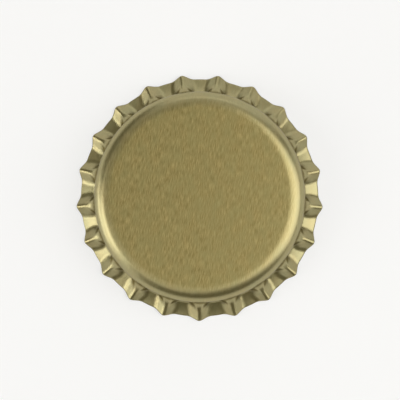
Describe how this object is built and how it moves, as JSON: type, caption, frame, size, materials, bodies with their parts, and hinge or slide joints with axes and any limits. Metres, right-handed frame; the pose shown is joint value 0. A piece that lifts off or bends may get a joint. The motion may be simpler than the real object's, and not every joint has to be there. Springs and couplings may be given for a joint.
{
  "type": "bottle cap",
  "caption": "Gold crown cork for a glass bottle: a stamped metal cap with a fluted, flared skirt and a moulded sealing liner.",
  "frame": {"origin": "on the cap's axis, in the plane that the skirt's rim stands on", "axes": "+Z along the cap's axis, up out of the panel; -Y towards the tip of one tooth"},
  "size_m": [0.032, 0.0319, 0.006],
  "materials": {
    "gold_lacquered_tinplate": "satin",
    "liner_compound": "satin"
  },
  "bodies": {
    "root": {"crown_shell": "gold_lacquered_tinplate", "sealing_liner": "liner_compound"}
  },
  "joints": []
}
